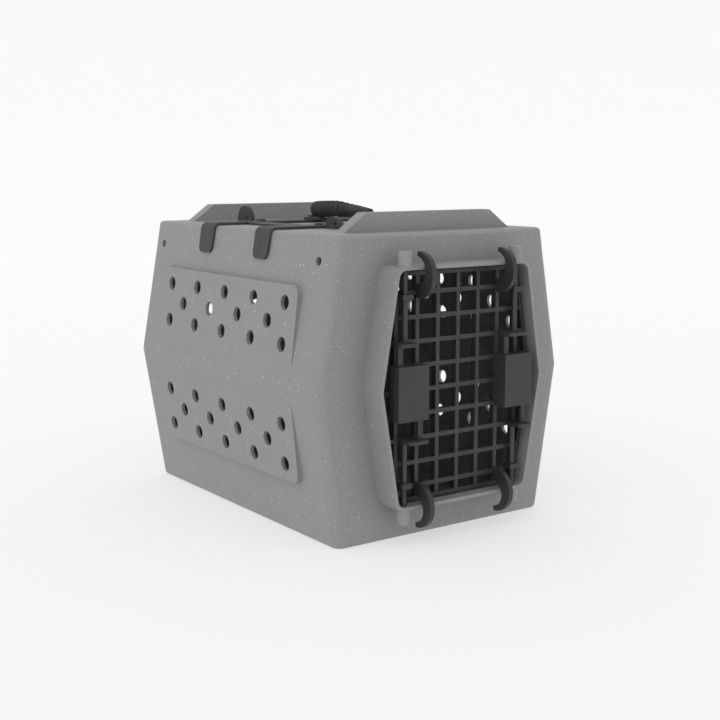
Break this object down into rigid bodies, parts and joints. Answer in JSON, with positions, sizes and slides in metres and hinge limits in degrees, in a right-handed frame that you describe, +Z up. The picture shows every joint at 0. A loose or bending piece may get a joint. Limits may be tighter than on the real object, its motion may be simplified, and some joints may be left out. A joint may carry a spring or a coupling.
{
  "type": "poultry transport crate",
  "caption": "One-piece moulded carrying crate with a six-sided cross-section, side and rear air holes, a swinging grid door on sliding pins, deck straps and a ribbed handle.",
  "frame": {"origin": "middle of the flat underside", "axes": "+Z up, the door faces -Y, +X to the right when looking at the rear from the door"},
  "size_m": [0.4638, 0.62, 0.4835],
  "materials": {
    "shell_plastic": "satin, speckled",
    "door_plastic": "fine matt grain",
    "latch_plastic": "fine matt grain",
    "pin_steel": "black, satin",
    "bright_steel": "zinc plated",
    "screw_steel": "blackened, satin",
    "grip_rubber": "matt",
    "strap_rubber": "matt",
    "cleat_plastic": "matt"
  },
  "bodies": {
    "crate": {"shell": "shell_plastic", "handle_grip": "grip_rubber", "handle_core": "bright_steel", "handle_end_front": "latch_plastic", "handle_end_rear": "latch_plastic", "handle_bolts": "screw_steel", "handle_nuts": "bright_steel", "strap_front": "strap_rubber", "strap_rear": "strap_rubber", "strap_bolts": "screw_steel", "strap_nuts": "bright_steel", "cleat_front_left": "cleat_plastic", "cleat_front_right": "cleat_plastic", "cleat_rear_left": "cleat_plastic", "cleat_rear_right": "cleat_plastic", "cleat_screws": "screw_steel", "deck_pad_left": "strap_rubber", "deck_pad_right": "strap_rubber"},
    "door": {"door_grid": "door_plastic", "hook_upper_left": "door_plastic", "hook_upper_right": "door_plastic", "hook_lower_left": "door_plastic", "hook_lower_right": "door_plastic", "latch_housing_left": "latch_plastic", "latch_housing_right": "latch_plastic", "housing_screws": "screw_steel", "latch_spring_left": "bright_steel", "latch_spring_right": "bright_steel"},
    "latch_upper_left": {"slider_upper_left": "latch_plastic", "pin_upper_left": "pin_steel"},
    "latch_lower_left": {"slider_lower_left": "latch_plastic", "pin_lower_left": "pin_steel"},
    "latch_upper_right": {"slider_upper_right": "latch_plastic", "pin_upper_right": "pin_steel"},
    "latch_lower_right": {"slider_lower_right": "latch_plastic", "pin_lower_right": "pin_steel"}
  },
  "joints": [
    {"name": "door_swing", "type": "hinge", "parent": "crate", "child": "door", "pos_m": [0.103, -0.309, 0.224], "axis": [0, 0, 1], "range_deg": [0, 110]},
    {"name": "left_latch_upper_slide", "type": "slide", "parent": "door", "child": "latch_upper_left", "axis": [0, 0, 1], "range_m": [0, 0.014], "deforming": ["latch_spring_left"]},
    {"name": "left_latch_lower_slide", "type": "slide", "parent": "door", "child": "latch_lower_left", "axis": [0, 0, -1], "range_m": [0, 0.014]},
    {"name": "right_latch_upper_slide", "type": "slide", "parent": "door", "child": "latch_upper_right", "axis": [0, 0, 1], "range_m": [-0.014, 0], "stiffness_N_per_m": 120, "springref_m": 0.012, "deforming": ["latch_spring_right"]},
    {"name": "right_latch_lower_slide", "type": "slide", "parent": "door", "child": "latch_lower_right", "axis": [0, 0, -1], "range_m": [-0.014, 0]}
  ],
  "couplings": [
    {"joint": "left_latch_lower_slide", "follows": "left_latch_upper_slide", "ratio": 1},
    {"joint": "right_latch_lower_slide", "follows": "right_latch_upper_slide", "ratio": 1}
  ]
}
